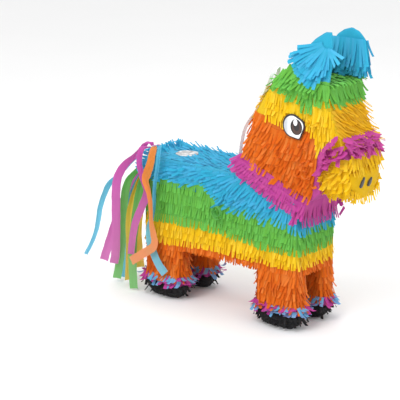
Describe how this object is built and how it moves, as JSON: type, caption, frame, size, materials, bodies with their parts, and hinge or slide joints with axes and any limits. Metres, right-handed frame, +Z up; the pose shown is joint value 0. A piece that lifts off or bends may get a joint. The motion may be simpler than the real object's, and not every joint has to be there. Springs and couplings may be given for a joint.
{
  "type": "pinata",
  "caption": "Donkey-shaped party pinata: hollow card box body under bands of fringed tissue paper, with filling flap, hanging ribbon and streamer tail.",
  "frame": {"origin": "on the surface it stands on, at the middle of the overall length and on the mid-plane between the left and right legs", "axes": "+X the way the donkey faces, +Y to its left, +Z up"},
  "size_m": [0.6207, 0.1642, 0.5477],
  "materials": {
    "card": "plain brown corrugated card",
    "black_tissue": "crumpled black tissue paper",
    "seal_paper": "white paper seal, mottled grey",
    "ribbon": "narrow woven white ribbon",
    "thread": "white cotton thread",
    "pink_streamer": "pink tissue streamer",
    "blue_streamer": "light blue tissue streamer",
    "green_streamer": "green tissue streamer",
    "yellow_streamer": "yellow tissue streamer",
    "orange_streamer": "light orange tissue streamer",
    "printed_eye": "printed card, semi-gloss",
    "dark_sticker": "dark grey printed paper",
    "trim_tissue": "mixed light blue and magenta curled tissue strips",
    "blue_tissue": "fringed tissue paper, matt",
    "green_tissue": "fringed tissue paper, matt",
    "yellow_tissue": "fringed tissue paper, matt",
    "magenta_tissue": "fringed tissue paper, matt",
    "orange_tissue": "fringed tissue paper, matt"
  },
  "bodies": {
    "body": {"trunk_panel_right": "card", "trunk_panel_left": "card", "belly_strip": "card", "chest_strip": "card", "withers_strip": "card", "back_strip": "card", "rump_strip": "card", "leg_front_right": "card", "leg_front_left": "card", "leg_rear_right": "card", "leg_rear_left": "card", "hoof_front_right": "black_tissue", "hoof_front_left": "black_tissue", "hoof_rear_right": "black_tissue", "hoof_rear_left": "black_tissue", "head_panel_right": "card", "head_panel_left": "card", "throat_strip": "card", "face_strip": "card", "crown_strip": "card", "nape_strip": "card", "muzzle_box": "card", "ear_right": "card", "ear_left": "card", "ribbon_washer": "card", "hang_ribbon": "ribbon", "tail_thread": "thread", "drape_pink": "pink_streamer", "drape_orange": "orange_streamer", "drape_blue": "blue_streamer", "eye_right": "printed_eye", "eye_left": "printed_eye", "nostrils": "dark_sticker", "fringe_body_blue": "blue_tissue", "fringe_body_green": "green_tissue", "fringe_body_yellow": "yellow_tissue", "fringe_belly_orange": "orange_tissue", "fringe_leg_front_right": "orange_tissue", "fringe_leg_front_left": "orange_tissue", "fringe_leg_rear_right": "orange_tissue", "fringe_leg_rear_left": "orange_tissue", "trim_front_right": "trim_tissue", "trim_front_left": "trim_tissue", "trim_rear_right": "trim_tissue", "trim_rear_left": "trim_tissue", "fringe_collar": "magenta_tissue", "fringe_head_orange": "orange_tissue", "fringe_head_yellow": "yellow_tissue", "fringe_head_green": "green_tissue", "fringe_ear_right": "blue_tissue", "fringe_ear_left": "blue_tissue", "fringe_muzzle_ring": "magenta_tissue", "fringe_muzzle_yellow": "yellow_tissue"},
    "flap": {"fill_flap": "seal_paper"},
    "tail": {"tail_tie": "pink_streamer", "tail_pink": "pink_streamer", "tail_blue": "blue_streamer", "tail_green": "green_streamer", "tail_yellow": "yellow_streamer"}
  },
  "joints": [
    {"name": "flap_hinge", "type": "hinge", "parent": "body", "child": "flap", "pos_m": [-0.126, 0, 0.2703], "axis": [0, -1, 0], "range_deg": [0, 95]},
    {"name": "tail_swing", "type": "hinge", "parent": "body", "child": "tail", "pos_m": [-0.176, -0.008, 0.271], "axis": [0, 1, 0], "range_deg": [0, 45]}
  ]
}
